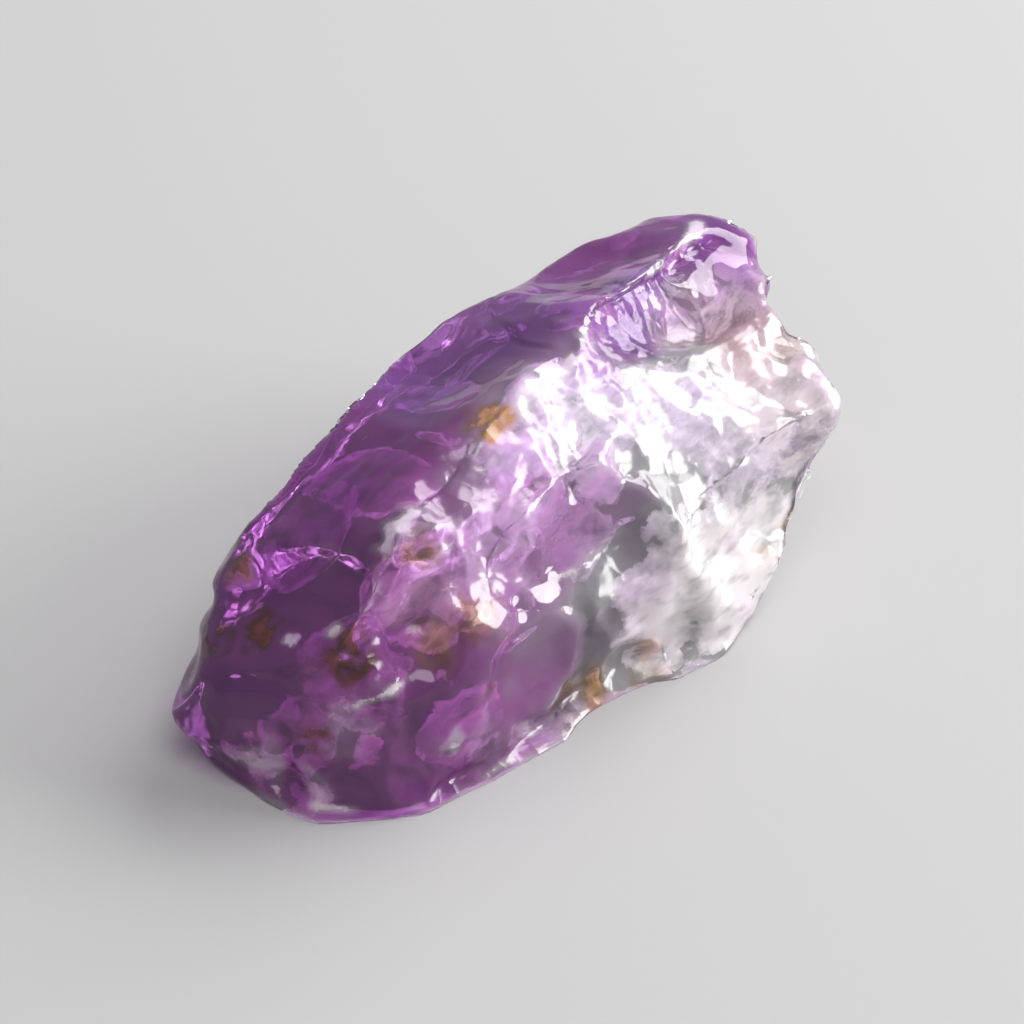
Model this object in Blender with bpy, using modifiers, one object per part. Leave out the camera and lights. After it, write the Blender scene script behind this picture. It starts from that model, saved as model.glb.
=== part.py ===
"""A broken piece of rough ametrine, purple amethyst at one side and near colourless quartz at the other.

One solid, in metres, +Z up. The long way of the stone is X: -X is the narrow purple end and +X the
lobed end. -Y is the pale front face and +Y the back. It lies on a flat break at Z = 0, and the
origin is at the centre of its footprint's box.
"""

import math
import random
from typing import NamedTuple

import bmesh
import bpy
from mathutils import Matrix, Vector, noise

MM = 0.001

# The corners of the stone before its hollows were broken out, in millimetres. The lowest lie below
# the flat break that the stone rests on.
CORNERS = {
    "tip": (-23.4, 6.3, 4.0),
    "end_low_back": (-20.2, 5.0, -1.5),
    "end_low_front": (-21.8, -4.9, -1.5),
    "end_brow": (-20.6, -2.0, 8.0),
    "back_heel": (-18.6, 7.0, 7.5),
    "front_toe": (-17.2, -8.9, -1.5),
    "front_foot_near": (-13.4, -9.5, -1.5),
    "front_foot": (-6.6, -9.6, -1.5),
    "front_foot_middle": (0.4, -12.5, -1.5),
    "front_foot_right": (3.4, -13.7, -1.5),
    "right_foot": (7.2, -12.6, -0.8),
    "rim_low": (14.3, -15.5, 8.0),
    "rim": (15.7, -15.0, 11.0),
    "rim_far": (18.1, -12.0, 12.0),
    "rim_farthest": (19.9, -9.2, 12.0),
    "lobe_low": (25.5, -2.5, 10.6),
    "lobe": (25.5, -2.0, 13.2),
    "lobe_top": (25.9, 0.3, 14.0),
    "far_top": (24.4, 3.2, 14.2),
    "far_top_back": (22.6, 6.4, 13.2),
    "wing": (17.6, 7.4, 14.0),
    "back_far": (10.8, 7.5, 15.0),
    "back_middle": (4.0, 8.0, 15.3),
    "back_near": (-4.2, 8.3, 14.8),
    "back_nearer": (-9.0, 8.8, 13.6),
    "back_low": (-16.2, 7.7, 10.0),
    "crest_far": (16.8, 0.2, 16.6),
    "crest_high": (7.3, -2.1, 18.0),
    "crest_middle": (-1.9, -2.1, 18.0),
    "crest_near": (-12.9, -3.8, 16.4),
    "crest_end": (-18.4, -3.2, 13.0),
    "shoulder_end": (-17.2, -6.0, 8.5),
    "shoulder_near": (-12.5, -7.8, 12.6),
    "shoulder_middle": (-5.0, -7.2, 14.4),
    "shoulder_right": (4.0, -8.4, 14.6),
    "hidden_back_left": (-14.0, 9.8, 4.0),
    "hidden_back": (1.0, 11.0, 5.0),
    "hidden_back_right": (14.0, 10.6, 6.0),
    "hidden_foot_left": (-15.0, 6.5, -1.5),
    "hidden_foot": (2.0, 8.0, -1.5),
    "hidden_foot_right": (16.0, 7.0, -1.5),
    "far_end_low": (25.0, 2.0, 5.0),
    "far_end_foot": (21.0, 0.0, -1.5),
    "far_end_foot_front": (17.0, -7.0, -1.5),
}

class Hollow(NamedTuple):
    """An uneven ball, sunk to its depth at a point of the surface, in millimetres.

    Opens and along are directions, in degrees round from +X towards +Y and then up: the way the
    hollow opens, and the way it is drawn out by its stretch.
    """

    at: tuple
    opens: tuple
    along: tuple
    radius: float
    depth: float
    stretch: float


# Hollows broken out of the corners' hull.
HOLLOWS = {
    "white_face": Hollow((9.0, -8.6, 14.4), (-78, 66), (0, 0), 20.0, 1.1, 1.2),
    "right_notch": Hollow((22.0, -6.4, 10.0), (-40, 5), (0, 90), 3.4, 2.3, 1.8),
    "lobe_groove": Hollow((14.0, -2.2, 16.2), (-78, 55), (8, 0), 5.0, 1.7, 1.9),
    "lobe_groove_far": Hollow((20.4, -0.3, 15.1), (-75, 62), (14, 0), 4.0, 0.7, 1.6),
    "wing_dent": Hollow((12.8, 7.2, 14.8), (95, 50), (-10, 0), 8.0, 0.6, 1.3),
    "wing_face": Hollow((17.4, 4.0, 15.2), (100, 76), (0, 0), 12.0, 0.8, 1.3),
    "purple_face": Hollow((-4.0, 2.6, 16.4), (100, 72), (0, 0), 30.0, 0.5, 1.3),
    "heel_dent": Hollow((-20.3, 6.9, 6.2), (140, 25), (20, 0), 7.0, 0.7, 1.2),
    "end_scoop": Hollow((-21.9, 2.0, 3.5), (-168, 12), (80, 0), 11.0, 0.7, 1.3),
    "end_step": Hollow((-20.6, -4.2, 5.6), (-140, 22), (120, 0), 8.0, 0.8, 1.2),
    "brow": Hollow((-19.4, 1.4, 10.0), (160, 55), (70, 0), 14.0, 0.8, 1.3),
    "near_shelf": Hollow((-14.6, -6.8, 10.6), (-115, 30), (20, 0), 10.0, 0.7, 1.5),
    "front_window": Hollow((-3.4, -8.6, 10.6), (-95, 22), (30, 20), 8.0, 0.8, 1.2),
    "ribbed_window": Hollow((3.2, -9.0, 13.4), (-84, 40), (30, -30), 9.0, 0.5, 1.4),
    "right_swoop": Hollow((7.6, -13.4, 6.4), (-88, 18), (0, 0), 20.0, 0.6, 1.0),
    "low_window": Hollow((-7.6, -9.6, 5.4), (-97, 8), (0, 0), 10.0, 0.7, 1.1),
    "front_nick": Hollow((-3.6, -12.0, 0.6), (-97, 5), (0, 0), 7.0, 1.2, 1.1),
    "crest_chip": Hollow((0.6, 0.4, 17.7), (75, 72), (10, 0), 9.0, 0.6, 1.7),
    "back_break": Hollow((-5.0, 10.0, 7.4), (95, 22), (0, 0), 20.0, 1.6, 1.3),
    "back_break_far": Hollow((10.0, 10.0, 8.8), (82, 28), (0, 0), 14.0, 1.3, 1.3),
    "far_break": Hollow((25.2, 0.5, 6.0), (12, -8), (90, 0), 11.0, 1.0, 1.2),
}
HOLLOW_UNEVENNESS = 0.05
HOLLOW_LUMPS = 0.5
HOLLOW_FINENESS = 4

# Small chips along the hull's sharp edges. Ranges are the least and the most, in millimetres.
CHIP_COUNT = 44
CHIP_RADIUS = (1.6, 5.0)
CHIP_DEPTH = (0.2, 0.55)
CHIP_STRETCH = (1.0, 2.0)
CHIP_SEED = 11
CHIP_FINENESS = 3
CHIP_CLEAR_OF_BASE = 1.5
FLATTEST_EDGE = math.radians(14)

# The surface's own unevenness, in millimetres: how far apart its swells are, and how high.
SWELLS = ((9.0, 0.36), (3.4, 0.15), (1.5, 0.06))
VOXEL = 0.36
MOST_TRIANGLES = 9000


def clear_scene():
    for obj in list(bpy.data.objects):
        bpy.data.objects.remove(obj)


def new_collection(name):
    collection = bpy.data.collections.new(name)
    bpy.context.scene.collection.children.link(collection)
    return collection


def object_of(bm, name, collection):
    mesh = bpy.data.meshes.new(name)
    bm.to_mesh(mesh)
    bm.free()
    obj = bpy.data.objects.new(name, mesh)
    collection.objects.link(obj)
    return obj


def hull_of(corners):
    """The closed shape with flat faces that wraps the corners."""
    bm = bmesh.new()
    for corner in corners:
        bm.verts.new(Vector(corner) * MM)
    wrapped = bmesh.ops.convex_hull(bm, input=bm.verts)
    inside = [v for v in wrapped["geom_interior"] if isinstance(v, bmesh.types.BMVert)]
    bmesh.ops.delete(bm, geom=inside, context="VERTS")
    bmesh.ops.recalc_face_normals(bm, faces=bm.faces)
    return bm


def direction(around, up):
    """A unit vector, from degrees round from +X and degrees above level."""
    a, e = math.radians(around), math.radians(up)
    return Vector((math.cos(a) * math.cos(e), math.sin(a) * math.cos(e), math.sin(e)))


def degrees_of(way):
    """The degrees round from +X and above level of a direction."""
    return math.degrees(math.atan2(way.y, way.x)), math.degrees(math.asin(way.normalized().z))


def ball_cutter(name, hollow, fineness, collection):
    bm = bmesh.new()
    radius = hollow.radius * MM
    bmesh.ops.create_icosphere(bm, subdivisions=fineness, radius=radius)
    for vertex in bm.verts:
        lump = noise.noise(vertex.co / (radius * HOLLOW_LUMPS) + Vector(hollow.at))
        vertex.co *= 1.0 + HOLLOW_UNEVENNESS * lump
    opens = direction(*hollow.opens)
    across = opens.cross(direction(*hollow.along)).normalized()
    turn = Matrix((across.cross(opens), across, opens)).transposed().to_4x4()
    centre = Vector(hollow.at) * MM + opens * (radius - hollow.depth * MM)
    bm.transform(Matrix.Translation(centre) @ turn @ Matrix.Diagonal((hollow.stretch, 1, 1, 1)))
    bmesh.ops.recalc_face_normals(bm, faces=bm.faces)
    cutter = object_of(bm, name, collection)
    cutter.hide_render = True
    cutter.display_type = "WIRE"


def add_hollows(collection):
    for name, hollow in HOLLOWS.items():
        ball_cutter(name, hollow, HOLLOW_FINENESS, collection)


def chip_on(edge, rng):
    """A chip of random size on an edge, opening between the edge's two faces."""
    start, end = (v.co for v in edge.verts)
    first, second = (f.normal for f in edge.link_faces)
    return Hollow(
        at=start.lerp(end, rng.random()) / MM,
        opens=degrees_of(first.lerp(second, rng.uniform(0.2, 0.8))),
        along=degrees_of(end - start),
        radius=rng.uniform(*CHIP_RADIUS),
        depth=rng.uniform(*CHIP_DEPTH),
        stretch=rng.uniform(*CHIP_STRETCH),
    )


def add_edge_chips(hull, collection):
    """Chips along the hull's sharp edges, more of them on the longer ones."""
    rng = random.Random(CHIP_SEED)
    sharp = [e for e in hull.edges if e.calc_face_angle() > FLATTEST_EDGE]
    clear = [e for e in sharp if min(v.co.z for v in e.verts) > CHIP_CLEAR_OF_BASE * MM]
    lengths = [e.calc_length() for e in clear]
    for i, edge in enumerate(rng.choices(clear, weights=lengths, k=CHIP_COUNT)):
        ball_cutter(f"chip_{i}", chip_on(edge, rng), CHIP_FINENESS, collection)


def swell_surface(obj):
    """Moves each point along its normal by smooth noise, so that no face is quite flat."""
    offsets = []
    for vertex in obj.data.vertices:
        height = 0.0
        for apart, high in SWELLS:
            height += high * noise.noise(vertex.co / (apart * MM))
        offsets.append(vertex.normal * height * MM)
    for vertex, offset in zip(obj.data.vertices, offsets):
        vertex.co += offset


def apply_modifiers(obj):
    """Replaces the object's mesh by the one that its modifiers make."""
    graph = bpy.context.evaluated_depsgraph_get()
    obj.data = bpy.data.meshes.new_from_object(obj.evaluated_get(graph))
    obj.modifiers.clear()


def cut_flat_base(obj):
    """Cuts off all that is below Z = 0, and closes the cut with one flat face."""
    bm = bmesh.new()
    bm.from_mesh(obj.data)
    everything = bm.verts[:] + bm.edges[:] + bm.faces[:]
    cut = bmesh.ops.bisect_plane(
        bm, geom=everything, plane_co=(0, 0, 0), plane_no=(0, 0, -1), clear_outer=True
    )
    rim = [e for e in cut["geom_cut"] if isinstance(e, bmesh.types.BMEdge)]
    bmesh.ops.contextual_create(bm, geom=rim)
    bmesh.ops.triangulate(bm, faces=bm.faces)
    bm.to_mesh(obj.data)
    bm.free()


def centre_on_footprint(obj):
    """Puts the origin under the middle of the stone's box."""
    xs = [v.co.x for v in obj.data.vertices]
    ys = [v.co.y for v in obj.data.vertices]
    middle = Vector(((min(xs) + max(xs)) / 2, (min(ys) + max(ys)) / 2, 0))
    obj.data.transform(Matrix.Translation(-middle))


def ametrine_material():
    material = bpy.data.materials.new("ametrine")
    material.use_nodes = True
    shader = material.node_tree.nodes["Principled BSDF"]
    shader.inputs["Base Color"].default_value = (0.42, 0.16, 0.50, 1.0)
    shader.inputs["Roughness"].default_value = 0.18
    shader.inputs["Metallic"].default_value = 0.0
    shader.inputs["IOR"].default_value = 1.55
    shader.inputs["Transmission Weight"].default_value = 0.85
    return material


def carve(stone, cutters):
    """Takes the cutters out of the stone, and gives it an even mesh."""
    cut = stone.modifiers.new("cut", "BOOLEAN")
    cut.operation = "DIFFERENCE"
    cut.operand_type = "COLLECTION"
    cut.collection = cutters
    cut.solver = "EXACT"
    even = stone.modifiers.new("even", "REMESH")
    even.mode = "VOXEL"
    even.voxel_size = VOXEL * MM
    apply_modifiers(stone)


def simplify(stone):
    """Brings the mesh down to about the most triangles that it may have."""
    reduce = stone.modifiers.new("reduce", "DECIMATE")
    triangles = sum(len(p.vertices) - 2 for p in stone.data.polygons)
    reduce.ratio = MOST_TRIANGLES / triangles
    apply_modifiers(stone)


def build_ametrine():
    stone_parts = new_collection("ametrine")
    cutters = new_collection("hollows_and_chips")
    hull = hull_of(CORNERS.values())
    add_hollows(cutters)
    add_edge_chips(hull, cutters)
    stone = object_of(hull, "ametrine", stone_parts)
    carve(stone, cutters)
    swell_surface(stone)
    simplify(stone)
    cut_flat_base(stone)
    centre_on_footprint(stone)
    stone.data.materials.append(ametrine_material())


def main():
    clear_scene()
    build_ametrine()


main()
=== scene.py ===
"""The looks of the ametrine: its broken, rippled surface, its colour zones and the veils inside."""

import math
from typing import NamedTuple

import bmesh
import bpy
import numpy as np
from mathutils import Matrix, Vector
from mathutils.bvhtree import BVHTree


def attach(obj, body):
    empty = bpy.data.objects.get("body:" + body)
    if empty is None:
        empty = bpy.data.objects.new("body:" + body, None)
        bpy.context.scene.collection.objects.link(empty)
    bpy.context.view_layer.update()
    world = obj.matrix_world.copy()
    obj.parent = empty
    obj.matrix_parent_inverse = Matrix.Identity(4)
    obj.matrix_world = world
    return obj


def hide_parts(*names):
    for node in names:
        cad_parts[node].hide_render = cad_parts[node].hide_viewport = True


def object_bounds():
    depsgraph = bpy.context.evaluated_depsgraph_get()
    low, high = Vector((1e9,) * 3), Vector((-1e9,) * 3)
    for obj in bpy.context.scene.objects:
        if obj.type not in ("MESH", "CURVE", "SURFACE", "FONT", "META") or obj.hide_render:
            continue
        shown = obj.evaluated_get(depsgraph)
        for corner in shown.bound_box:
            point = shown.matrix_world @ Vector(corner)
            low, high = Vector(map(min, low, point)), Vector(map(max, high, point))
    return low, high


MM = 0.001

# Noise fields: how far apart their swells are in millimetres, then their seed.
GRAIN = (1.1, 1)
CHIPS = (0.9, 2)
WEAR = (2.4, 3)
WANDER = (7.0, 4)
FINE_WANDER = (2.2, 5)
MOTTLE = (4.0, 6)
FINE_MOTTLE = (1.6, 7)
CRUMBS = (1.3, 8)
RING_BENDS = (4.5, 9)
RING_GAPS = (3.0, 10)
FINE_CRUMBS = (0.6, 11)
LINE_WIDTHS = (1.2, 60)
LONG_LINE_WIDTHS = (4.0, 61)

# What the noise is made from: its random slopes, the primes that scatter its cells, and the
# factor that brings it to about -1 to 1.
NOISE_SLOPES = 4096
NOISE_PRIMES = (73856093, 19349663, 83492791)
NOISE_GAIN = 1.7

# The first seeds of noise that differs from spot to spot or from veil to veil.
SPOT_SEED = 20
FINE_RUMPLE_SEED = 50
RAGGED_SEED = 80
FINE_RAGGED_SEED = 110
TORN_SEED = 140

# The surface mesh: its cells in millimetres, the bend between two faces that counts as a crease,
# and how many rounds flatten what lies between the creases.
VOXEL = 0.215
CREASE_KEPT = 0.26
FLATTEN_ROUNDS = 24
SETTLE_ROUNDS = 14

# A ridge: how many cells round it are looked at, and how far it has to stand above them to count
# as one, in part and in full.
RIDGE_REACH = 6
RIDGE_RISE = (0.03, 0.11)

# Worn ridges, in millimetres: the least that is worn off, and what small chips and wider wear add.
WORN_LEAST = 0.08
WORN_CHIPS = 0.20
WORN_WIDE = 0.05

# The height over which the flat break that the stone rests on fades into the worked surface.
FOOT_HEIGHT = (0.05, 1.0)

# The glassy break along the top: the way it faces, how nearly a point has to face that way, and
# where it starts behind the crest.
GLASSY_FACING = (0.0, 0.35, 0.93)
GLASSY_WITHIN = (0.35, 0.75)
GLASSY_FROM_Y = (-1.5, 1.5)

# How much of the roughness each kind of smooth ground loses.
GLASSY_SMOOTHER = 0.90
WINDOW_SMOOTHER = 0.85
SPOT_SMOOTHER = 0.7

# Shell-shaped flake scars from large to small: how far apart and how deep they are, in
# millimetres, and how much they lean.
SCARS = (
    {"seed": 3, "apart": 6.5, "depth": 0.50, "lean": 0.14},
    {"seed": 5, "apart": 3.1, "depth": 0.22, "lean": 0.12},
    {"seed": 8, "apart": 1.5, "depth": 0.10, "lean": 0.10},
)

# The share of the ground that the scars sink, the parts that the points are worked out in, and
# how much the least scarred ground shows of them.
SCARS_BELOW = 0.9
SCAR_CHUNKS = 40
SCARS_PATCHY = (-0.35, 0.35)
LEAST_SCARRED = 0.25

# The height of the grain, and how far anything may rise above the solid, in millimetres.
GRAIN_HEIGHT = 0.05
MOST_RAISED = 0.06


class Rings(NamedTuple):
    """Ripples that spread from where a blow landed, in millimetres. Crisp ones end in a step."""

    at: tuple
    facing: tuple
    apart: float
    high: float
    reach: float
    crisp: float


RIPPLES = (
    Rings(at=(5.2, -0.4, 17.4), facing=(0.1, -0.75, 0.65), apart=1.3, high=0.05, reach=13.0, crisp=0.8),
    Rings(at=(-9.0, 7.6, 14.6), facing=(0.0, 0.35, 0.93), apart=1.9, high=0.02, reach=14.0, crisp=0.0),
    Rings(at=(14.0, -12.5, 10.0), facing=(0.2, -0.95, 0.25), apart=1.4, high=0.06, reach=11.0, crisp=0.6),
    Rings(at=(-19.0, -3.0, 9.5), facing=(-0.6, -0.75, 0.3), apart=1.2, high=0.05, reach=7.0, crisp=0.8),
    Rings(at=(3.0, 9.5, 11.0), facing=(0.0, 1.0, 0.1), apart=1.5, high=0.07, reach=16.0, crisp=0.7),
    Rings(at=(10.0, 0.8, 16.6), facing=(0.3, -0.65, 0.7), apart=0.8, high=0.05, reach=7.0, crisp=1.0),
    Rings(at=(7.0, 3.0, 17.2), facing=(0.0, 0.30, 0.95), apart=2.3, high=0.10, reach=6.0, crisp=1.0),
)

# Rings show where the ground faces their way nearly enough, and not in their own middle. They fade
# from a share of their reach, in patches, and a last share of each crisp ring is its step.
RINGS_WITHIN = (0.45, 0.85)
RINGS_FROM = (0.6, 2.5)
RINGS_FADE = 0.45
RINGS_PATCHY = (-0.5, 0.3)
RING_STEP = 0.18

# How much of its radius the edge of a spot takes, and how far apart and how big its bulges are.
CRISP_EDGE = 0.3
SOFT_EDGE = 0.5
WIDE_EDGE = 0.6
BULGES_APART = 0.9
BULGES = 0.6

# Spots on the surface: their place and radius in millimetres, then how strong they are. Windows
# are smooth and clear, and clear spots have hardly any colour.
VIOLET_SPOTS = (
    ((9.5, -0.2, 15.6), 2.6, 1.0),
    ((13.0, 0.6, 15.2), 2.8, 1.0),
    ((16.4, 1.4, 14.8), 2.4, 0.9),
    ((6.0, 3.6, 17.0), 5.0, 0.6),
    ((0.3, 6.2, 15.4), 5.0, 0.6),
    ((21.0, 0.0, 13.5), 5.5, 0.5),
    ((23.0, -1.5, 11.0), 4.0, 0.4),
)
WINDOWS = (
    ((-4.4, -5.9, 11.0), 3.2, 1.0),
    ((-8.8, -7.2, 5.9), 3.4, 1.0),
    ((-0.4, -6.8, 12.3), 2.4, 1.0),
    ((-14.5, -7.4, 6.5), 3.0, 0.8),
    ((-21.5, 2.5, 6.0), 3.5, 0.7),
)
CLEAR_SPOTS = (
    ((-23.0, 1.3, 3.0), 2.0, 0.60),
    ((-22.4, -1.8, 1.6), 1.4, 0.45),
    ((-20.2, -3.2, 5.6), 1.6, 0.35),
    ((-15.5, -7.2, 3.7), 0.8, 0.60),
    ((-19.8, 1.4, 10.0), 0.5, 0.70),
)
BROWN_SPOTS = (
    ((-17.6, 7.1, 11.0), 0.9, 1.0),
    ((-21.0, 6.4, 8.3), 1.2, 0.9),
    ((-19.8, 3.8, 9.5), 1.1, 0.9),
    ((-19.2, -2.7, 10.3), 1.8, 1.0),
    ((-17.2, 7.3, 11.1), 0.6, 1.0),
    ((-21.8, -1.7, 5.0), 1.2, 0.9),
    ((-12.3, -7.2, 5.7), 0.5, 0.6),
    ((-11.1, -8.6, 1.4), 0.4, 1.0),
    ((15.5, -3.9, 14.3), 2.2, 0.35),
    ((-22.5, -4.5, 1.5), 1.2, 0.6),
    ((-6.0, -8.6, 0.8), 1.5, 0.5),
)
YELLOW_SPOTS = (
    ((-4.5, -0.5, 17.6), 1.15, 1.5),
    ((-3.2, -1.1, 17.7), 0.7, 1.3),
    ((-15.7, -1.9, 15.0), 0.9, 0.65),
    ((-13.8, -3.3, 15.1), 1.1, 0.65),
    ((-12.2, -6.4, 10.9), 1.6, 0.65),
    ((-14.5, -5.3, 10.1), 1.5, 0.65),
    ((-4.4, -9.1, 1.2), 1.5, 0.9),
    ((-1.1, -10.3, 1.6), 1.3, 0.9),
    ((16.9, -6.5, 13.3), 0.8, 0.6),
    ((11.8, -12.0, 5.4), 1.0, 0.7),
    ((8.5, -12.0, 4.6), 0.9, 0.7),
)
BEIGE_SPOTS = (
    ((15.5, -3.9, 14.3), 4.0, 0.75),
    ((19.0, -4.0, 13.0), 3.5, 0.65),
    ((13.5, -9.0, 12.5), 3.0, 0.40),
    ((-15.0, -4.5, 13.5), 2.4, 0.35),
)

# Where the stone is crushed and milky just under its surface. On the lower front wall the milky white is
# painted light, standing in for a bright glow.
MILKY_AND_GLOW_SPOTS = (
    # Lower front wall: painted light, white that stands in for its bright glow.
    ((2.3, -11.3, 5.0), 3.2, 1.0),
    ((5.7, -11.7, 4.6), 3.4, 1.0),
    ((-0.4, -10.4, 6.3), 2.4, 0.9),
    ((1.4, -10.3, 9.2), 2.4, 0.8),
    ((5.0, -10.7, 8.2), 3.0, 0.9),
    ((9.5, -11.6, 6.5), 2.8, 0.8),
    ((0.6, -11.2, 2.1), 2.6, 1.0),
    ((-1.9, -10.1, 3.6), 1.8, 0.8),
    ((4.0, -11.8, 2.2), 2.6, 1.0),
    ((8.0, -12.0, 3.0), 2.4, 0.9),
    ((14.0, -11.0, 8.0), 3.0, 0.5),
    ((-1.0, -2.6, 16.9), 3.0, 0.8),
    ((-4.8, -3.0, 16.6), 2.6, 0.8),
    ((3.2, -3.4, 15.8), 3.0, 0.7),
    ((6.0, -6.0, 14.0), 3.6, 0.5),
    ((10.0, -5.0, 13.8), 3.4, 0.5),
    ((14.7, -6.5, 13.6), 3.2, 0.7),
    ((15.4, -9.6, 12.5), 2.6, 0.7),
    ((20.0, -2.0, 13.6), 3.0, 0.4),
    ((-9.7, -5.9, 13.2), 1.3, 0.6),
    ((-10.7, -4.4, 14.5), 1.4, 0.7),
    ((-9.9, -6.7, 11.5), 1.2, 0.6),
    ((-23.2, 2.1, 3.4), 1.6, 1.0),
    ((-22.9, 0.9, 2.5), 1.5, 1.0),
    ((-22.4, -1.8, 1.4), 1.2, 0.7),
    ((-20.4, -2.2, 7.2), 1.0, 0.5),
    ((-19.8, -4.1, 4.2), 1.2, 0.6),
    ((-15.5, -7.2, 3.7), 0.7, 0.9),
    ((-19.6, 1.4, 10.0), 0.6, 1.0),
)

# How a ridge line's width varies along it, and where it starts to fade out across.
WIDTH_VARIES = 0.9
WIDTH_VARIES_FAR = 0.6
LEAST_WIDTH = 0.1
LINE_FADES = 0.3

# Crushed white ridges: half their width, then the points that each runs through.
PALE_LINES = (
    (
        0.55,
        (
            (-18.6, -0.9, 11.0),
            (-17.6, -0.8, 12.4),
            (-15.9, -1.4, 14.9),
            (-12.4, -1.4, 16.3),
            (-7.2, -1.6, 17.1),
            (-2.7, -1.2, 17.8),
            (2.0, -0.9, 17.7),
            (8.8, 0.8, 16.5),
            (12.7, 1.5, 15.9),
            (16.9, 2.3, 15.5),
            (21.6, 3.7, 14.7),
        ),
    ),
    (1.0, ((-12.4, -1.4, 16.3), (-15.9, -1.4, 14.9), (-17.4, -1.0, 12.6))),
    (0.9, ((8.8, 0.4, 16.2), (2.0, -1.3, 17.5), (-2.7, -1.7, 17.6))),
    (0.40, ((-5.8, -6.8, 12.6), (-13.6, -6.4, 10.4), (-17.8, -4.6, 8.2), (-21.2, -2.4, 6.8))),
    (0.30, ((-23.8, 4.0, 2.6), (-22.8, -0.9, 1.0), (-20.0, -6.4, 0.6), (-14.4, -8.0, 0.6))),
    (0.30, ((-14.4, -8.0, 0.6), (-7.6, -9.0, 0.8), (-1.5, -10.4, 0.8))),
    (0.55, ((-13.4, -4.0, 14.4), (-9.5, -4.4, 15.2), (-6.5, -4.7, 15.4))),
    (0.40, ((-4.8, -4.8, 15.4), (-3.3, -5.1, 15.3), (-1.5, -5.9, 15.0))),
    (0.40, ((-1.8, -7.3, 9.8), (-3.9, -7.1, 9.2), (-5.2, -6.6, 9.4))),
    (0.35, ((9.0, -2.4, 14.8), (14.0, -2.0, 14.6), (18.5, -2.2, 14.2))),
    (
        0.30,
        (
            (-24.3, 5.5, 3.0),
            (-23.9, 7.5, 3.9),
            (-21.0, 7.8, 7.8),
            (-16.7, 9.4, 9.6),
            (-11.0, 10.6, 12.0),
        ),
    ),
    (0.40, ((16.9, -6.8, 13.2), (16.6, -8.6, 12.7), (15.8, -10.0, 12.3), (14.8, -11.6, 11.4))),
)


class Veil(NamedTuple):
    """A healed crack inside the stone, in millimetres. Its rim can shine more than its middle."""

    at: tuple
    facing: tuple
    radius: float
    bend: float
    left: float
    rim: float


VEILS = (
    Veil((-9.4, 3.4, 13.4), (0.20, 0.10, 0.97), 4.2, -1.0, 0.9, 0.9),
    Veil((-5.6, 0.8, 14.2), (0.75, 0.20, 0.62), 3.0, 0.6, 0.9, 0.9),
    Veil((-13.5, 4.2, 10.6), (-0.35, 0.55, 0.75), 4.0, 0.9, 0.8, 0.8),
    Veil((-2.0, 4.6, 12.8), (0.45, 0.30, 0.84), 3.6, 0.7, 0.8, 0.8),
    Veil((-5.0, -2.6, 14.4), (0.05, -0.92, 0.40), 4.6, 0.6, 0.9, 0.0),
    Veil((1.5, -3.4, 14.0), (0.15, -0.88, 0.45), 4.8, -0.6, 0.9, 0.0),
    Veil((7.5, -4.6, 12.2), (0.05, -0.60, 0.80), 5.2, 0.7, 0.9, 0.0),
    Veil((12.5, -6.2, 10.4), (0.25, -0.40, 0.88), 4.8, -0.6, 0.9, 0.0),
    Veil((8.4, -8.0, 7.0), (0.35, -0.85, 0.30), 5.0, 0.6, 0.9, 0.0),
    Veil((-2.2, -4.4, 9.6), (-0.72, -0.60, 0.30), 3.4, 0.4, 0.8, 0.5),
    Veil((-8.6, -4.2, 10.0), (-0.50, -0.80, 0.30), 3.6, 0.5, 0.8, 0.5),
    Veil((-12.4, -1.6, 10.4), (-0.35, -0.85, 0.40), 4.0, 0.6, 0.8, 0.6),
    Veil((-16.8, -1.0, 6.6), (-0.80, -0.45, 0.40), 3.4, 0.5, 0.8, 0.6),
    Veil((-19.4, 0.6, 3.4), (-0.85, -0.40, 0.30), 2.8, 0.3, 0.8, 0.5),
    Veil((-13.0, -5.0, 3.0), (-0.20, -0.92, 0.30), 3.2, -0.3, 0.8, 0.6),
    Veil((16.8, -1.6, 11.2), (0.40, -0.50, 0.76), 4.0, 0.5, 0.9, 0.2),
    Veil((19.6, 0.0, 9.2), (0.65, -0.20, 0.73), 3.4, 0.4, 0.8, 0.3),
    Veil((10.0, 2.6, 12.6), (0.10, 0.45, 0.88), 3.6, 0.4, 0.7, 0.6),
    Veil((4.0, 5.6, 7.0), (-0.20, 0.90, 0.25), 4.4, 0.6, 0.8, 0.4),
)
SMALL_VEILS = {"seed": 12, "count": 4, "low": (-6.0, -11.0, 2.0), "high": (21.0, 1.0, 15.0)}
SMALL_VEIL_RADIUS = (1.2, 3.0)
SMALL_VEIL_BEND = (-0.4, 0.4)
SMALL_VEIL_LEFT = 0.85
SMALL_VEIL_RIM = (0.0, 0.7)
SMALL_VEIL_TURNS = (0.6, 1.2, 0.8)

# The sheets inside the stone, in millimetres: how thick they are, the cells of a veil, and how
# deep a veil and the crushed skin lie.
SHEET_THICK = 0.03
VEIL_CELL = 0.2
VEIL_DEPTH = 0.35
SKIN_DEPTH = 0.22
SKIN_DEEP_ENOUGH = 0.6 * SKIN_DEPTH

# How milky the surface has to be for a crushed skin under it; on the lower front wall that skin is
# painted light.
SKIN_FROM = 0.34

# A veil's relief and how ragged its outline is, widely and finely: height or depth, then how far
# apart. Holes are torn in it where noise is high.
RUMPLES = (0.22, 3.4)
FINE_RUMPLES = (0.03, 0.9)
RAGS = (0.20, 2.2)
FINE_RAGS = (0.05, 0.6)
HOLES_APART = 2.4
HOLES_ABOVE = (1.6, -0.55)

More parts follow.
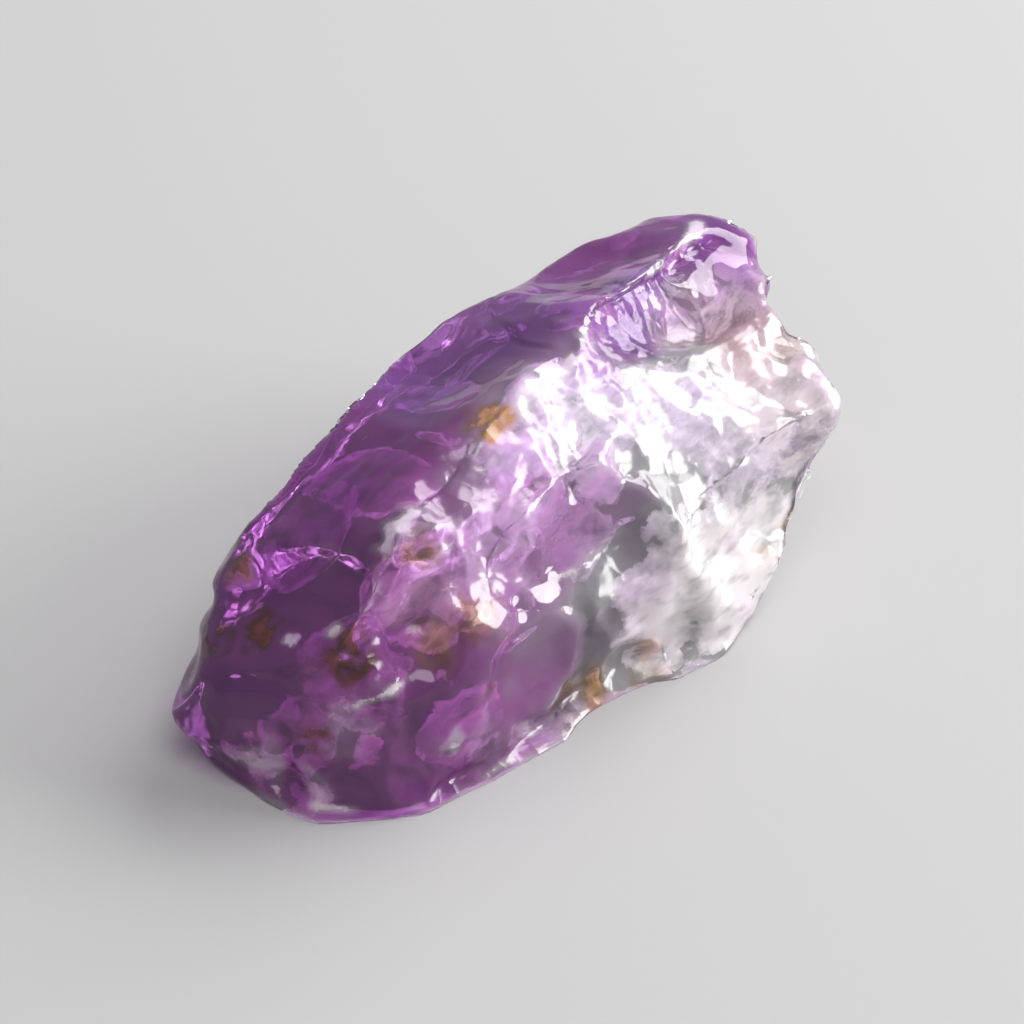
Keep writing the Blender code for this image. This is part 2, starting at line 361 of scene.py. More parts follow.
# A veil from its middle at 0 outwards: where its haze fades, where its bright rim rises and fades,
# and its edge. Its faintest parts are left out.
HAZE_FADES = (0.45, 0.90)
RIM_RISES = (0.66, 0.80)
RIM_FADES = (0.84, 0.90)
RIM_INSIDE = 0.10
VEIL_EDGE = 0.90
FAINTEST = 0.08

# Ground that the finer breaks left smooth: place, radius and share.
SMOOTH_SPOTS = (
    ((-22.6, 5.0, 4.6), 5.5, 1.0),
    ((-21.0, 1.5, 7.5), 4.5, 1.0),
)
SMOOTH_ROUNDS = 30
SMOOTH_SHARE = 0.7

# Where the purple lies, in millimetres, and how strong it is: behind the crest and at the left end,
# with a little in the middle, in the windows and high up. The back loses most of it low on the
# right. Its borders wander, widely and finely, and the colour and the frost are mottled.
BACK_Y = (-1.6, 3.4)
BACK_PURPLE = 0.86
END_X = (4.0, 18.0)
END_PURPLE = 0.80
MIDDLE_X = (-3.0, 6.0)
MIDDLE_PURPLE = 0.30
RIGHT_X = (-12.0, 0.0)
LOW_Z = (9.0, 12.5)
LOW_RIGHT_LOSS = 0.62
UPPER_Z = (7.0, 14.0)
UPPER_PURPLE = 0.16
WINDOW_PURPLE = 0.35
WANDER_X = (2.5, 0.8)
WANDER_Y = (1.4, 0.5)
MOTTLED = 0.14
FINE_MOTTLED = 0.08

# Frost: on plain ground, how much it varies, and what the glassy break and the windows lose of it.
FROST = 0.66
FROST_VARIES = (0.22, 0.14)
GLASSY_LOSS = 0.62
WINDOW_LOSS = 0.92

# Stains are broken up in crumbs. Milky ground lies under all that is stained or pale.
CRUMBLED = (-0.7, 0.1)
BROWN_STRENGTH = 1.4
YELLOW_LEAST = 0.4
MILKY_UNDER = {"yellow": 0.6, "brown": 0.4, "beige": 0.5}
WINDOW_MILKY_LOSS = 0.8
FROST_ON_PALE = 0.6
PALE_ON_RIDGES = 0.85
# The crushed skin turns lilac higher up; low down it stays white, and on the front wall that white is
# painted light.
LILAC = (0.15, 0.75)

# Colours of the crystal from colourless to deep purple, and what lies over them.
CRYSTAL_COLOURS = (
    (0.00, (0.97, 0.95, 0.96)),
    (0.22, (0.93, 0.85, 0.94)),
    (0.48, (0.80, 0.50, 0.82)),
    (0.75, (0.58, 0.14, 0.56)),
    (1.00, (0.36, 0.05, 0.40)),
)
VIOLET = (0.34, 0.16, 0.62)
VIOLET_SHARE = 0.6
COATS = (
    ("pale", (0.97, 0.90, 0.92)),
    ("beige", (0.86, 0.72, 0.62)),
    ("brown", (0.20, 0.04, 0.03)),
    ("yellow", (0.66, 0.33, 0.08)),
)
QUARTZ_IOR = 1.55
QUARTZ_CLEARNESS = 0.80
QUARTZ_TINT = (0.78, 0.56, 0.88)
QUARTZ_DENSITY = 26.0

# From glassy to dull ground, the least and what dullness adds. Fine flakes are in millimetres.
ROUGHNESS = (0.02, 0.27)
BUMPINESS = (0.05, 0.85)
FINE_FLAKES_APART = 1.4
FINE_FLAKES_DEPTH = 0.20

# The sheets inside: their colour, and how their streaks become cover, by a factor and an offset.
SHEET_ROUGHNESS = 0.5
STREAK_DETAIL = 2.0
VEIL_COLOUR = (0.95, 0.90, 0.96)
VEIL_STREAKS = {"apart": 1.3, "squeeze": 0.35}
VEIL_COVER = (4.2, -1.5)
# The skin's white, painted light on the lower front wall, and its lilac higher up.
SKIN_WHITE = (0.97, 0.93, 0.90)
SKIN_LILAC = (0.80, 0.66, 0.88)
SKIN_STREAKS = {"apart": 1.0, "squeeze": 0.45}
SKIN_FLECKS = (3.0, -1.9)
SKIN_COVER = 1.5

# The floor, and the lights: azimuth and elevation in degrees, distance and size in metres, watts.
FLOOR_COLOUR = (0.38, 0.375, 0.37)
FLOOR_ROUGHNESS = 0.75
FLOOR_SIZE = 2.0
ROOM_COLOUR = (0.92, 0.94, 1.0)
ROOM_LIGHT = 0.48
LIGHTS = (
    ("back_soft", 88, 36, 0.6, 0.45, 3.6),
    ("side_soft", 46, 20, 0.6, 0.40, 5.0),
    ("top_soft", -30, 70, 0.7, 0.5, 2.2),
)

# The camera, in millimetres and degrees.
CAMERA_TARGET = (-1.2, 0.2, 8.0)
CAMERA_AZIMUTH = -51.0
CAMERA_ELEVATION = 40.0
CAMERA_DISTANCE = 280.0
CAMERA_LENS = 165.4


def unit(vectors):
    return vectors / (np.linalg.norm(vectors, axis=-1, keepdims=True) + 1e-12)


def towards(azimuth, elevation):
    """The way from the stone to something at these angles, in degrees. The front is at 0."""
    a, e = math.radians(azimuth), math.radians(elevation)
    return Vector((math.sin(a) * math.cos(e), -math.cos(a) * math.cos(e), math.sin(e)))


def noise_at(points, apart, seed):
    """Smooth noise, from about -1 to 1, at each point. Its swells are that many millimetres apart."""
    rng = np.random.default_rng(seed)
    slopes = unit(rng.normal(size=(NOISE_SLOPES, 3)))
    scaled = np.asarray(points) / apart + rng.uniform(100, 200, 3)
    cell = np.floor(scaled).astype(np.int64)
    inside = scaled - cell
    fade = inside**3 * (inside * (inside * 6 - 15) + 10)
    total = np.zeros(len(scaled))
    for corner in np.ndindex(2, 2, 2):
        at = cell + corner
        pick = np.bitwise_xor.reduce(at * NOISE_PRIMES, axis=1) % NOISE_SLOPES
        weight = np.where(corner, fade, 1 - fade).prod(axis=1)
        total += weight * (slopes[pick] * (inside - corner)).sum(axis=1)
    return NOISE_GAIN * total


def smoothstep(low, high, x):
    t = np.clip((x - low) / (high - low), 0.0, 1.0)
    return t * t * (3 - 2 * t)


class Surface:
    """A quad mesh as arrays, in millimetres, with what the shaping steps need."""

    def __init__(self, mesh):
        self.mesh = mesh
        count = len(mesh.vertices)
        co = np.empty(count * 3)
        mesh.vertices.foreach_get("co", co)
        self.co = co.reshape(-1, 3) / MM
        loops = np.empty(len(mesh.loops), dtype=int)
        mesh.loops.foreach_get("vertex_index", loops)
        starts = np.empty(len(mesh.polygons), dtype=int)
        mesh.polygons.foreach_get("loop_start", starts)
        self.quads = loops[starts[:, None] + np.arange(4)]
        edges = np.empty(len(mesh.edges) * 2, dtype=int)
        mesh.edges.foreach_get("vertices", edges)
        self.edges = edges.reshape(-1, 2)
        loop_edges = np.empty(len(mesh.loops), dtype=int)
        mesh.loops.foreach_get("edge_index", loop_edges)
        loop_faces = np.repeat(np.arange(len(self.quads)), 4)
        order = np.argsort(loop_edges, kind="stable")
        self.face_pairs = loop_faces[order].reshape(-1, 2)

    def face_normals(self):
        q = self.co[self.quads]
        return np.cross(q[:, 2] - q[:, 0], q[:, 3] - q[:, 1])

    def normals(self):
        faces = self.face_normals()
        summed = np.zeros_like(self.co)
        for corner in range(4):
            for axis in range(3):
                summed[:, axis] += np.bincount(
                    self.quads[:, corner], weights=faces[:, axis], minlength=len(self.co)
                )
        return unit(summed)

    def neighbour_mean(self, values):
        a, b = self.edges.T
        count = len(self.co)
        total = np.bincount(a, weights=values[b], minlength=count)
        total += np.bincount(b, weights=values[a], minlength=count)
        return total / np.maximum(np.bincount(self.edges.ravel(), minlength=count), 1)

    def blurred(self, values, rounds):
        for _ in range(rounds):
            values = self.neighbour_mean(values)
        return values

    def flatten_between_creases(self):
        """Smooths each face of the stone, and keeps the creases between faces sharp."""
        one, other = self.face_pairs.T
        count = len(self.quads)
        area = np.linalg.norm(self.face_normals(), axis=1)
        wanted = unit(self.face_normals())
        for _ in range(FLATTEN_ROUNDS):
            apart = ((wanted[one] - wanted[other]) ** 2).sum(axis=1)
            weight = np.exp(-apart / (2 * CREASE_KEPT**2))
            summed = wanted * area[:, None]
            for axis in range(3):
                summed[:, axis] += np.bincount(
                    one, weights=weight * area[other] * wanted[other, axis], minlength=count
                )
                summed[:, axis] += np.bincount(
                    other, weights=weight * area[one] * wanted[one, axis], minlength=count
                )
            wanted = unit(summed)
        used = np.bincount(self.quads.ravel(), minlength=len(self.co))[:, None]
        for _ in range(SETTLE_ROUNDS):
            centre = self.co[self.quads].mean(axis=1)
            move = np.zeros_like(self.co)
            for corner in range(4):
                index = self.quads[:, corner]
                reach = ((centre - self.co[index]) * wanted).sum(axis=1)
                for axis in range(3):
                    move[:, axis] += np.bincount(
                        index, weights=reach * wanted[:, axis], minlength=len(self.co)
                    )
            self.co += move / used

    def relax(self, rounds, share):
        """Moves each point part of the way to the mean of its neighbours."""
        for _ in range(rounds):
            mean = np.stack([self.neighbour_mean(self.co[:, axis]) for axis in range(3)], axis=1)
            self.co += share * (mean - self.co)

    def convexity(self):
        """0 on flat ground and in valleys, and up to 1 on a sharp ridge."""
        blurred = [self.blurred(self.co[:, axis], RIDGE_REACH) for axis in range(3)]
        around = np.stack(blurred, axis=1)
        rise = ((self.co - around) * self.normals()).sum(axis=1)
        return smoothstep(*RIDGE_RISE, self.blurred(rise, 2))

    def write(self):
        self.mesh.vertices.foreach_set("co", (self.co * MM).ravel())
        self.mesh.update()

    def store(self, name, values):
        attribute = self.mesh.attributes.new(name, "FLOAT", "POINT")
        attribute.data.foreach_set("value", np.ascontiguousarray(values, dtype=np.float32))


def flake_scars(points, extent, seed, apart, depth, lean):
    """Depth of shallow bowls that meet in ridges, one round each of many scattered points."""
    rng = np.random.default_rng(seed)
    low, high = extent[0] - apart, extent[1] + apart
    count = int(np.prod((high - low) / apart))
    seeds = rng.uniform(low, high, (count, 3))
    tilt = rng.normal(0, lean, (count, 3))
    bowl = depth / (0.5 * apart) ** 2
    slopes = tilt - 2 * bowl * seeds
    starts = bowl * (seeds**2).sum(axis=1) - (seeds * tilt).sum(axis=1)
    chunks = np.array_split(points, SCAR_CHUNKS)
    lowest = np.concatenate([(chunk @ slopes.T + starts).min(axis=1) for chunk in chunks])
    height = lowest + bowl * (points**2).sum(axis=1)
    return height - np.quantile(height, SCARS_BELOW)


def ripple_rings(points, normals, at, facing, apart, high, reach, crisp):
    """Height of rings round a point, on the ground that faces one way."""
    away = np.linalg.norm(points - np.array(at), axis=1)
    facing = unit(np.array(facing, dtype=float))
    there = smoothstep(*RINGS_WITHIN, normals @ facing)
    there = there * (1 - smoothstep(RINGS_FADE * reach, reach, away))
    there = there * smoothstep(*RINGS_FROM, away)
    there = there * smoothstep(*RINGS_PATCHY, noise_at(points, *RING_GAPS))
    turns = away / apart + 1.1 * noise_at(points, *RING_BENDS)
    smooth = np.sin(2 * math.pi * turns)
    part = turns % 1.0
    stepped = 2 * np.minimum(part / (1 - RING_STEP), (1 - part) / RING_STEP) - 1
    return high * there * (crisp * stepped + (1 - crisp) * smooth)


def shape_stone(surface):
    """Adds the scars, ripples and worn edges that the solid is too coarse for."""
    surface.flatten_between_creases()
    surface.relax(1, 0.4)
    extent = surface.co.min(axis=0), surface.co.max(axis=0)
    share = SMOOTH_SHARE * spots(surface.co, SMOOTH_SPOTS, SOFT_EDGE)
    surface.relax(SMOOTH_ROUNDS, share[:, None])
    normals = surface.normals()
    _, y, z = surface.co.T
    above_foot = smoothstep(*FOOT_HEIGHT, z)
    glassy = smoothstep(*GLASSY_WITHIN, normals @ np.array(GLASSY_FACING))
    glassy = glassy * smoothstep(*GLASSY_FROM_Y, y)
    rough = 1 - GLASSY_SMOOTHER * glassy
    rough = rough * (1 - WINDOW_SMOOTHER * spots(surface.co, WINDOWS, CRISP_EDGE))
    rough = rough * (1 - SPOT_SMOOTHER * spots(surface.co, SMOOTH_SPOTS, SOFT_EDGE))
    height = np.zeros(len(surface.co))
    for scar in SCARS:
        patches = noise_at(surface.co, 2.2 * scar["apart"], scar["seed"])
        patchy = smoothstep(*SCARS_PATCHY, patches)
        patchy = LEAST_SCARRED + (1 - LEAST_SCARRED) * patchy
        height += flake_scars(surface.co, extent, **scar) * rough * patchy
    for rings in RIPPLES:
        height += ripple_rings(surface.co, normals, *rings)
    height += GRAIN_HEIGHT * noise_at(surface.co, *GRAIN) * rough
    height = np.minimum(height, MOST_RAISED)
    surface.co += normals * (height * above_foot)[:, None]
    worn = WORN_LEAST + WORN_CHIPS * np.clip(noise_at(surface.co, *CHIPS), 0, 1)
    worn = worn + WORN_WIDE * noise_at(surface.co, *WEAR)
    surface.co -= surface.normals() * (surface.convexity() * worn * above_foot)[:, None]
    surface.relax(1, 0.25)
    return glassy


def fit_to_frame(surface, box):
    """Keeps the surface in the solid's box and on the floor."""
    low, high = (np.array(corner) / MM for corner in box)
    low[2] = 0.0
    surface.co = np.clip(surface.co, low, high)


def blob(points, at, radius, edge, seed):
    """1 inside an uneven spot and 0 outside it."""
    away = np.linalg.norm(points - np.array(at), axis=1)
    uneven = away + BULGES * radius * noise_at(points, radius * BULGES_APART, seed)
    return 1 - smoothstep(radius - edge, radius + edge, uneven)


def spots(points, listed, edge):
    """The strongest of the listed spots at each point. Their edge is a share of their radius."""
    strength = np.zeros(len(points))
    for seed, (at, radius, strong) in enumerate(listed):
        here = blob(points, at, radius, edge * radius, SPOT_SEED + seed)
        strength = np.maximum(strength, strong * here)
    return strength


def lines(points, listed):
    """How close each point is to one of the listed lines, from 1 on it to 0 beyond its width."""
    closeness = np.zeros(len(points))
    uneven = 1 + WIDTH_VARIES * noise_at(points, *LINE_WIDTHS)
    uneven = uneven + WIDTH_VARIES_FAR * noise_at(points, *LONG_LINE_WIDTHS)
    uneven = np.maximum(uneven, LEAST_WIDTH)
    for width, line in listed:
        for start, end in zip(np.array(line[:-1]), np.array(line[1:])):
            way = end - start
            along = np.clip((points - start) @ way / (way @ way), 0, 1)
            away = np.linalg.norm(points - start - along[:, None] * way, axis=1)
            here = 1 - smoothstep(LINE_FADES, 1.0, away / (width * uneven))
            closeness = np.maximum(closeness, here)
    return closeness


def paint_zones(surface, glassy):
    """Stores the place of each colour and finish, as one number per point."""
    x, y, z = surface.co.T
    wander = noise_at(surface.co, *WANDER)
    fine = noise_at(surface.co, *FINE_WANDER)
    bent_x = x + WANDER_X[0] * wander + WANDER_X[1] * fine
    bent_y = y + WANDER_Y[0] * wander + WANDER_Y[1] * fine
    low_right = LOW_RIGHT_LOSS * smoothstep(*RIGHT_X, x) * (1 - smoothstep(*LOW_Z, z))
    back = smoothstep(*BACK_Y, bent_y) * (1 - low_right)
    end = smoothstep(*END_X, -bent_x)
    middle = MIDDLE_PURPLE * smoothstep(*MIDDLE_X, -bent_x)
    windows = spots(surface.co, WINDOWS, CRISP_EDGE)
    violet = spots(surface.co, VIOLET_SPOTS, SOFT_EDGE)
    mottle = MOTTLED * noise_at(surface.co, *MOTTLE)
    mottle = mottle + FINE_MOTTLED * noise_at(surface.co, *FINE_MOTTLE)
    upper = smoothstep(*UPPER_Z, z + wander)
    colourless = (1 - middle) * (1 - WINDOW_PURPLE * windows) * (1 - UPPER_PURPLE * upper)
    purple = 1 - (1 - BACK_PURPLE * back) * (1 - END_PURPLE * end) * colourless
    purple = 1 - (1 - purple) * (1 - violet)
    purple = purple * (1 - spots(surface.co, CLEAR_SPOTS, SOFT_EDGE))
    surface.store("purple", np.clip(purple + mottle, 0, 1))
    surface.store("violet", violet)
    pale = lines(surface.co, PALE_LINES)
    frost = FROST - GLASSY_LOSS * glassy + FROST_VARIES[0] * wander + FROST_VARIES[1] * fine
    frost = np.clip(frost, 0, 1) * (1 - WINDOW_LOSS * windows)
    surface.store("frost", np.maximum(frost + mottle, FROST_ON_PALE * pale))
    surface.store("pale", np.maximum(pale, PALE_ON_RIDGES * surface.convexity()))
    crumbs = noise_at(surface.co, *CRUMBS) + 0.5 * noise_at(surface.co, *FINE_CRUMBS)
    broken = smoothstep(*CRUMBLED, crumbs)
    yellow_broken = YELLOW_LEAST + (1 - YELLOW_LEAST) * broken
    stains = {
        "brown": BROWN_STRENGTH * spots(surface.co, BROWN_SPOTS, WIDE_EDGE) * broken,
        "yellow": spots(surface.co, YELLOW_SPOTS, WIDE_EDGE) * yellow_broken,
        "beige": spots(surface.co, BEIGE_SPOTS, SOFT_EDGE),
    }
    # Milky ground: crushed quartz, and on the lower front wall painted light that stands in for a bright
    # glow.
    milky_and_glow = spots(surface.co, MILKY_AND_GLOW_SPOTS, WIDE_EDGE) * (1 - WINDOW_MILKY_LOSS * windows)
    milky_and_glow = np.maximum(milky_and_glow, pale)
    for name, stain in stains.items():
        stain = np.clip(stain, 0, 1)
        surface.store(name, stain)
        milky_and_glow = np.maximum(milky_and_glow, MILKY_UNDER[name] * stain)
    surface.store("milky_and_glow", milky_and_glow)
    least, added = LILAC
    surface.store("lilac", np.clip(least + added * upper + mottle, 0, 1))


def cad_copy(node):
    """The node's solid as a mesh of its own, in the frame's place."""
    mesh = node.data.copy()
    mesh.name = "crystal"
    mesh.transform(node.matrix_world)
    bm = bmesh.new()
    bm.from_mesh(mesh)
    bmesh.ops.remove_doubles(bm, verts=bm.verts, dist=1e-7)
    bm.to_mesh(mesh)
    bm.free()
    return mesh


def evenly_meshed(obj):
    """Gives the object a mesh of even squares, and returns it."""
    even = obj.modifiers.new("even", "REMESH")
    even.mode = "VOXEL"
    even.voxel_size = VOXEL * MM
    graph = bpy.context.evaluated_depsgraph_get()
    mesh = bpy.data.meshes.new_from_object(obj.evaluated_get(graph))
    obj.modifiers.clear()
    old = obj.data
    obj.data = mesh
    bpy.data.meshes.remove(old)
    mesh.name = "crystal"
    return mesh


def nodes_of(name):
    material = bpy.data.materials.new(name)
    material.use_nodes = True
    tree = material.node_tree
    return material, tree, tree.nodes["Principled BSDF"]


def add(tree, kind, **values):
    node = tree.nodes.new(kind)
    for key, value in values.items():
        setattr(node, key, value)
    return node


def mix_colours(tree, factor, one, other):
    """A colour that goes from one to other. Each is a socket or a plain colour."""
    node = add(tree, "ShaderNodeMix", data_type="RGBA")
    tree.links.new(factor, node.inputs["Factor"])
    for name, value in (("A", one), ("B", other)):
        if isinstance(value, tuple):
            node.inputs[name].default_value = (*value, 1.0)
        else:
            tree.links.new(value, node.inputs[name])
    return node.outputs["Result"]


def calculate(tree, operation, *values, clamp=False):
    node = add(tree, "ShaderNodeMath", operation=operation, use_clamp=clamp)
    for socket, value in zip(node.inputs, values):
        if isinstance(value, (int, float)):
            socket.default_value = value
        else:
            tree.links.new(value, socket)
    return node.outputs[0]


def streaks_node(tree, apart, squeeze):
    """Noise with lumps that far apart in millimetres, drawn out along X by the squeeze."""
    coords = add(tree, "ShaderNodeTexCoord")
    place = add(tree, "ShaderNodeMapping")
    place.inputs["Scale"].default_value = (squeeze, 1.0, 1.0)
    tree.links.new(coords.outputs["Object"], place.inputs["Vector"])
    node = add(tree, "ShaderNodeTexNoise")
    node.inputs["Scale"].default_value = 1 / (apart * MM)
    node.inputs["Detail"].default_value = STREAK_DETAIL
    tree.links.new(place.outputs["Vector"], node.inputs["Vector"])
    return node.outputs["Fac"]


def flakes_node(tree, apart):
    """Bowls that meet in sharp ridges, that far apart in millimetres."""
    coords = add(tree, "ShaderNodeTexCoord")
    cells = add(tree, "ShaderNodeTexVoronoi")
    cells.inputs["Scale"].default_value = 1 / (apart * MM)
    tree.links.new(coords.outputs["Object"], cells.inputs["Vector"])
    return calculate(tree, "POWER", cells.outputs["Distance"], 2.0)


def zone(tree, name):
    """One of the numbers that paint_zones stored."""
    return add(tree, "ShaderNodeAttribute", attribute_name=name).outputs["Fac"]


def colour_ramp(tree, factor, stops):
    node = add(tree, "ShaderNodeValToRGB")
    tree.links.new(factor, node.inputs["Fac"])
    elements = node.color_ramp.elements
    while len(elements) < len(stops):
        elements.new(0.5)
    for element, (place, colour) in zip(elements, stops):
        element.position = place
        element.color = (*colour, 1.0)
    return node.outputs["Color"]


def crystal_material():
    material, tree, shader = nodes_of("ametrine_crystal")
    link = tree.links.new
    body = colour_ramp(tree, zone(tree, "purple"), CRYSTAL_COLOURS)
    violet = calculate(tree, "MULTIPLY", zone(tree, "violet"), VIOLET_SHARE)
    body = mix_colours(tree, violet, body, VIOLET)
    for name, colour in COATS:
        body = mix_colours(tree, zone(tree, name), body, colour)
    link(body, shader.inputs["Base Color"])

    stained = calculate(tree, "ADD", zone(tree, "brown"), zone(tree, "yellow"), clamp=True)
    dull = calculate(tree, "MAXIMUM", zone(tree, "frost"), stained)
    least, added = ROUGHNESS
    link(calculate(tree, "MULTIPLY_ADD", dull, added, least), shader.inputs["Roughness"])
    flakes = flakes_node(tree, FINE_FLAKES_APART)
    relief = calculate(tree, "MULTIPLY", flakes, FINE_FLAKES_DEPTH)
    bump = add(tree, "ShaderNodeBump")
    bump.inputs["Distance"].default_value = MM
    link(relief, bump.inputs["Height"])
    least, added = BUMPINESS
    link(calculate(tree, "MULTIPLY_ADD", dull, added, least), bump.inputs["Strength"])
    link(bump.outputs["Normal"], shader.inputs["Normal"])

    shader.inputs["IOR"].default_value = QUARTZ_IOR
    shader.inputs["Transmission Weight"].default_value = QUARTZ_CLEARNESS
    clear = add(tree, "ShaderNodeVolumeAbsorption")
    clear.inputs["Color"].default_value = (*QUARTZ_TINT, 1.0)
    clear.inputs["Density"].default_value = QUARTZ_DENSITY
    link(clear.outputs["Volume"], tree.nodes["Material Output"].inputs["Volume"])
    return material


def veil_material():
    material, tree, shader = nodes_of("healed_crack")
    shader.inputs["Base Color"].default_value = (*VEIL_COLOUR, 1.0)
    shader.inputs["Roughness"].default_value = SHEET_ROUGHNESS
    shader.inputs["Specular IOR Level"].default_value = 0.0
    streaks = streaks_node(tree, **VEIL_STREAKS)
    cover = calculate(tree, "MULTIPLY_ADD", streaks, *VEIL_COVER, clamp=True)
    cover = calculate(tree, "MULTIPLY", cover, zone(tree, "glow"), clamp=True)
    tree.links.new(cover, shader.inputs["Alpha"])
    return material


def crushed_and_glow_material():
    material, tree, shader = nodes_of("crushed_quartz_and_glow")
    # Crushed quartz, and on the lower front wall painted light: white sheets standing in for a bright
    # glow.
    tint = mix_colours(tree, zone(tree, "lilac"), SKIN_WHITE, SKIN_LILAC)
    tree.links.new(tint, shader.inputs["Base Color"])
    shader.inputs["Roughness"].default_value = SHEET_ROUGHNESS
    shader.inputs["Specular IOR Level"].default_value = 0.0
    streaks = streaks_node(tree, **SKIN_STREAKS)
    flecks = calculate(tree, "MULTIPLY_ADD", streaks, *SKIN_FLECKS)
    cover = calculate(tree, "MULTIPLY_ADD", zone(tree, "milky_and_glow"), SKIN_COVER, flecks, clamp=True)
    tree.links.new(cover, shader.inputs["Alpha"])
    return material


def veil_points(at, facing, radius, bend, seed):
    """A square sheet of points, bent and rumpled, and the reach of each from the middle."""
    count = int(2 * radius / VEIL_CELL) + 1
    span = np.linspace(-radius, radius, count)
    u, v = (grid.ravel() for grid in np.meshgrid(span, span, indexing="ij"))
    turn = np.array(Vector(facing).to_track_quat("Z", "Y").to_matrix())
    reach = np.hypot(u, v) / radius
    rise = bend * reach**2
    flat = np.stack([u, v, np.zeros_like(u)], axis=1)
    for (high, apart), first_seed in ((RUMPLES, 0), (FINE_RUMPLES, FINE_RUMPLE_SEED)):
        rise += high * noise_at(flat, apart, first_seed + seed)
    points = flat + np.stack([np.zeros_like(u), np.zeros_like(u), rise], axis=1)
    return points @ turn.T + np.array(at), reach, count


def small_veils():
    """More veils, small and scattered, in the pale half of the stone."""
    rng = np.random.default_rng(SMALL_VEILS["seed"])
    listed = []
    for _ in range(SMALL_VEILS["count"]):
        at = tuple(rng.uniform(SMALL_VEILS["low"], SMALL_VEILS["high"]))
        facing = tuple(unit(rng.normal(size=3) * SMALL_VEIL_TURNS))
        radius = rng.uniform(*SMALL_VEIL_RADIUS)
        bend = rng.uniform(*SMALL_VEIL_BEND)
        rim = rng.uniform(*SMALL_VEIL_RIM)
        listed.append(Veil(at, facing, radius, bend, SMALL_VEIL_LEFT, rim))
    return tuple(listed)


def deep_inside(tree, place, depth):
    """Whether a place lies inside the crystal and at least so deep under its surface."""
    if tree.find_nearest(place)[3] < depth * MM:
        return False
    hit, normal, _, _ = tree.ray_cast(place, Vector((0, 0, 1)))
    return hit is not None and normal.z > 0


def glow_of(veil, ragged):
    """How much of the veil shows, from its middle out to its rim."""
    haze = 1 - smoothstep(*HAZE_FADES, ragged)
    ring = smoothstep(*RIM_RISES, ragged) * (1 - smoothstep(*RIM_FADES, ragged))
    rim = RIM_INSIDE + (1 - RIM_INSIDE) * ring
    return (1 - veil.rim) * haze + veil.rim * rim


def sheets_object(name, bm, material):
    """Makes the sheets into an object of thin closed plates that rides the stone."""
    mesh = bpy.data.meshes.new(name)
    bm.to_mesh(mesh)
    bm.free()
    sheets = bpy.data.objects.new(name, mesh)
    bpy.context.scene.collection.objects.link(sheets)
    thick = sheets.modifiers.new("thick", "SOLIDIFY")
    thick.thickness = SHEET_THICK * MM
    thick.offset = 0
    mesh.materials.append(material)
    mesh.shade_smooth()
    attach(sheets, "root")


def build_veils(crystal):
    """Healed cracks that lie wholly inside the stone."""
    skin = BVHTree.FromObject(crystal, bpy.context.evaluated_depsgraph_get())
    bm = bmesh.new()
    glow = bm.verts.layers.float.new("glow")
    for seed, veil in enumerate(VEILS + small_veils()):
        points, reach, count = veil_points(veil.at, veil.facing, veil.radius, veil.bend, seed)
        ragged = reach
        for (deep, apart), first_seed in ((RAGS, RAGGED_SEED), (FINE_RAGS, FINE_RAGGED_SEED)):
            ragged = ragged + deep * noise_at(points, apart, first_seed + seed)
        holes_above = HOLES_ABOVE[0] * veil.left + HOLES_ABOVE[1]
        torn = noise_at(points, HOLES_APART, TORN_SEED + seed) > holes_above
        shown = glow_of(veil, ragged)
        verts = {}
        for i in np.flatnonzero((ragged < VEIL_EDGE) & (shown > FAINTEST) & ~torn):
            if deep_inside(skin, Vector(points[i]) * MM, VEIL_DEPTH):
                verts[i] = bm.verts.new(points[i] * MM)
                verts[i][glow] = shown[i]
        for row in range(count - 1):
            for column in range(count - 1):
                i = row * count + column
                corners = (i, i + count, i + count + 1, i + 1)
                if all(c in verts for c in corners):
                    bm.faces.new([verts[c] for c in corners])
    bmesh.ops.delete(bm, geom=[v for v in bm.verts if not v.link_faces], context="VERTS")
    sheets_object("veils", bm, veil_material())


def build_crushed_and_glow_skin(crystal):
    """Milky sheets just under the surface, where ridges and chipped faces are crushed, and painted light
    on the lower front wall that stands in for a bright glow.
    """
    skin = BVHTree.FromObject(crystal, bpy.context.evaluated_depsgraph_get())
    bm = bmesh.new()
    bm.from_mesh(crystal.data)
    milky_and_glow = bm.verts.layers.float["milky_and_glow"]
    clear = [v for v in bm.verts if v[milky_and_glow] < SKIN_FROM]
    bmesh.ops.delete(bm, geom=clear, context="VERTS")
    bm.normal_update()
    for vert in bm.verts:
        vert.co -= vert.normal * SKIN_DEPTH * MM
    outside = [v for v in bm.verts if not deep_inside(skin, v.co, SKIN_DEEP_ENOUGH)]
    bmesh.ops.delete(bm, geom=outside, context="VERTS")
    bmesh.ops.delete(bm, geom=[v for v in bm.verts if not v.link_faces], context="VERTS")
    sheets_object("crushed_and_glow_skin", bm, crushed_and_glow_material())


def build_crystal(node, box):
    """The stone's skin at a finer grain, in place of the solid."""
    obj = bpy.data.objects.new("crystal", cad_copy(node))
    bpy.context.scene.collection.objects.link(obj)
    mesh = evenly_meshed(obj)
    surface = Surface(mesh)
    glassy = shape_stone(surface)
    fit_to_frame(surface, box)
    paint_zones(surface, glassy)
    surface.write()
    mesh.shade_smooth()
    mesh.materials.clear()
    mesh.materials.append(crystal_material())
    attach(obj, "root")
    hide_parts("ametrine")
    return obj


